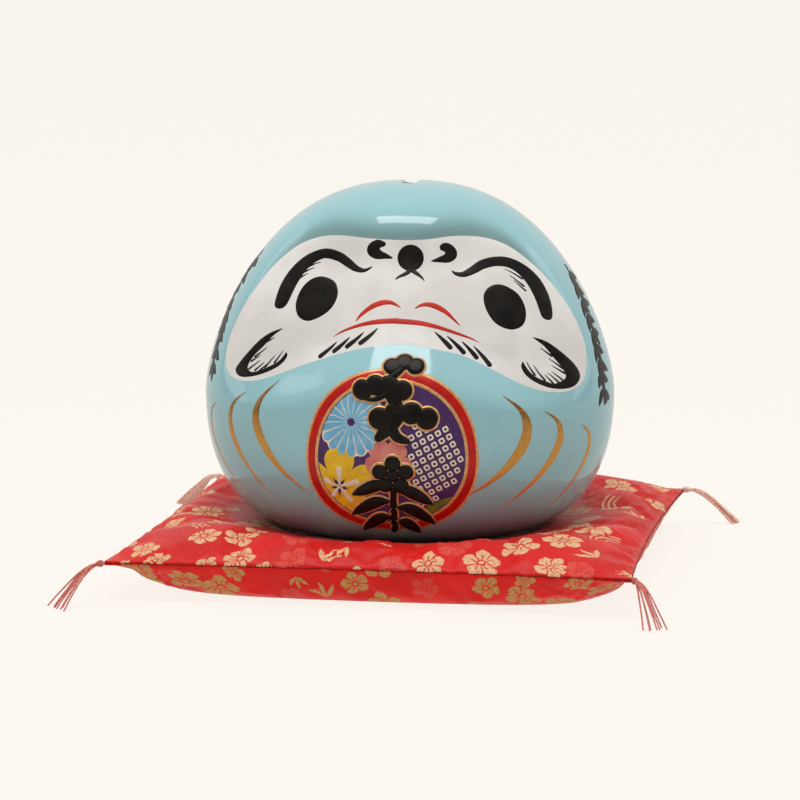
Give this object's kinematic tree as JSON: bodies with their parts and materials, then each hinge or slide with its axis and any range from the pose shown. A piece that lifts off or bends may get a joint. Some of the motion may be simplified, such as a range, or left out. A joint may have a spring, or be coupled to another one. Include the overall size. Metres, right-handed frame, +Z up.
{
  "type": "daruma doll coin bank on cushion",
  "caption": "Rounded glazed ceramic daruma coin bank with a white face niche, resting in the dent of a flat square brocade cushion with corner tassels.",
  "frame": {"origin": "centre of the cushion's flat underside, on the surface it stands on", "axes": "+Z up through the doll's crown, -Y the way the face looks, +X to the viewer's right"},
  "size_m": [0.2108, 0.2109, 0.1224],
  "materials": {
    "blue_glaze": "gloss",
    "white_glaze": "gloss",
    "black_enamel": "gloss",
    "red_enamel": "gloss",
    "coloured_enamel": "gloss",
    "gold_lustre": "satin",
    "stopper_rubber": "matte",
    "red_brocade": "satin",
    "cotton_filling": "matte",
    "tassel_thread": "satin"
  },
  "bodies": {
    "cushion": {"cushion_cover_top": "red_brocade", "cushion_cover_bottom": "red_brocade", "cushion_filling": "cotton_filling"},
    "doll": {"ceramic_body": "blue_glaze"},
    "stopper": {"stopper": "stopper_rubber"},
    "tassel_front_left": {"tassel_front_left": "tassel_thread"},
    "tassel_front_right": {"tassel_front_right": "tassel_thread"},
    "tassel_back_right": {"tassel_back_right": "tassel_thread"},
    "tassel_back_left": {"tassel_back_left": "tassel_thread"}
  },
  "joints": [
    {"name": "doll_lift", "type": "slide", "parent": "cushion", "child": "doll", "axis": [0, 0, 1], "range_m": [0, 0.12]},
    {"name": "stopper_pull", "type": "slide", "parent": "doll", "child": "stopper", "axis": [0, 0, -1], "range_m": [0, 0.018]},
    {"name": "tassel_front_left_swing", "type": "hinge", "parent": "cushion", "child": "tassel_front_left", "pos_m": [-0.08868, -0.07362, 0.012], "axis": [-0.7513, 0.66, 0], "range_deg": [0, 75]},
    {"name": "tassel_front_right_swing", "type": "hinge", "parent": "cushion", "child": "tassel_front_right", "pos_m": [0.07362, -0.08868, 0.012], "axis": [-0.9225, -0.3859, 0], "range_deg": [0, 75]},
    {"name": "tassel_back_right_swing", "type": "hinge", "parent": "cushion", "child": "tassel_back_right", "pos_m": [0.08868, 0.07362, 0.012], "axis": [0.1167, -0.9932, 0], "range_deg": [0, 75]},
    {"name": "tassel_back_left_swing", "type": "hinge", "parent": "cushion", "child": "tassel_back_left", "pos_m": [-0.07362, 0.08868, 0.012], "axis": [0.673, 0.7396, 0], "range_deg": [0, 75]}
  ],
  "couplings": [
    {"joint": "stopper_pull", "follows": "doll_lift", "ratio": 0.15}
  ]
}
